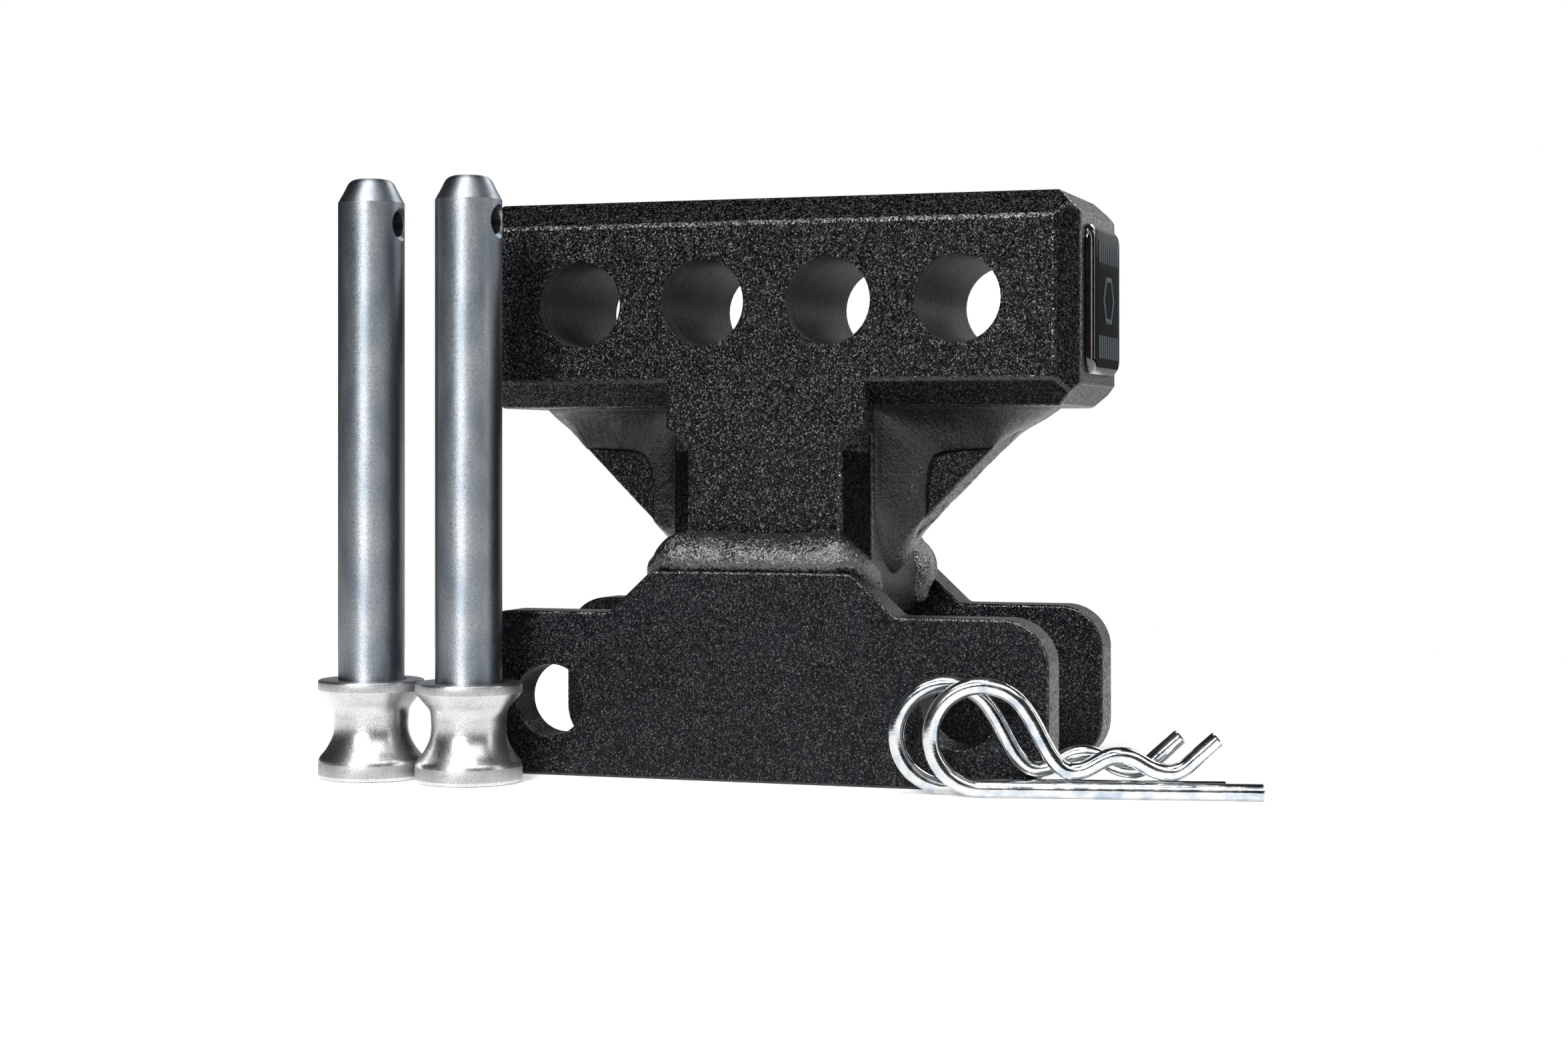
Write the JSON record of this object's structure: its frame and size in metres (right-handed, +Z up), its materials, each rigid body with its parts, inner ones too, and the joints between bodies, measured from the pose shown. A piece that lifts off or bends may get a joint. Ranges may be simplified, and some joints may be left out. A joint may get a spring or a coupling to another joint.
{
  "type": "weight distribution hitch",
  "caption": "Square shank bar with cross holes, welded by a gusseted neck to a two-plate clevis, with its hitch pins and spring clips set down beside it.",
  "frame": {"origin": "middle of the whole set's footprint, on the floor that the clevis plates stand on", "axes": "+X along the shank bar towards the badge, +Y from the front clevis plate to the rear one, +Z up from the floor"},
  "size_m": [0.2232, 0.1036, 0.1435],
  "materials": {
    "powder_coat": "black wrinkle powder coat with a fine sparkle",
    "coated_weld": "black powder coat over rippled weld, smoother and glossier",
    "badge_gloss": "domed gloss black with a plain raised emblem",
    "pin_steel": "ground steel",
    "head_metal": "satin turned",
    "zinc_wire": "bright zinc plate with a blue tint"
  },
  "bodies": {
    "hitch": {"shank_bar": "powder_coat", "neck_block": "powder_coat", "gusset_left": "powder_coat", "gusset_right": "powder_coat", "clevis_plate_front": "powder_coat", "clevis_plate_rear": "powder_coat", "weld_bar_neck_front": "powder_coat", "weld_bar_neck_rear": "powder_coat", "weld_plate_front": "coated_weld", "weld_plate_rear": "coated_weld", "weld_gusset_left_front": "coated_weld", "weld_gusset_right_front": "coated_weld", "weld_gusset_left_rear": "coated_weld", "weld_gusset_right_rear": "coated_weld", "end_badge": "badge_gloss"},
    "pin_left": {"pin_left_shaft": "pin_steel", "pin_left_head": "head_metal"},
    "pin_right": {"pin_right_shaft": "pin_steel", "pin_right_head": "head_metal"},
    "clip_front": {"clip_front_leg": "zinc_wire"},
    "clip_front_spring": {"clip_front_arm": "zinc_wire"},
    "clip_rear": {"clip_rear_leg": "zinc_wire"},
    "clip_rear_spring": {"clip_rear_arm": "zinc_wire"}
  },
  "joints": [
    {"name": "pin_left_lift", "type": "slide", "parent": "hitch", "child": "pin_left", "axis": [0, 0, 1], "range_m": [0, 0.12]},
    {"name": "pin_right_lift", "type": "slide", "parent": "hitch", "child": "pin_right", "axis": [0, 0, 1], "range_m": [0, 0.12]},
    {"name": "clip_front_lift", "type": "slide", "parent": "hitch", "child": "clip_front", "axis": [0, 0, 1], "range_m": [0, 0.08]},
    {"name": "clip_front_open", "type": "hinge", "parent": "clip_front", "child": "clip_front_spring", "pos_m": [0.03849, -0.03312, 0.0136], "axis": [0.2079, -0.9781, 0], "range_deg": [0, 10], "stiffness_Nm_per_rad": 8},
    {"name": "clip_rear_lift", "type": "slide", "parent": "hitch", "child": "clip_rear", "axis": [0, 0, 1], "range_m": [0, 0.08]},
    {"name": "clip_rear_open", "type": "hinge", "parent": "clip_rear", "child": "clip_rear_spring", "pos_m": [0.02969, -0.03052, 0.0136], "axis": [0.2079, -0.9781, 0], "range_deg": [0, 10], "stiffness_Nm_per_rad": 8}
  ]
}
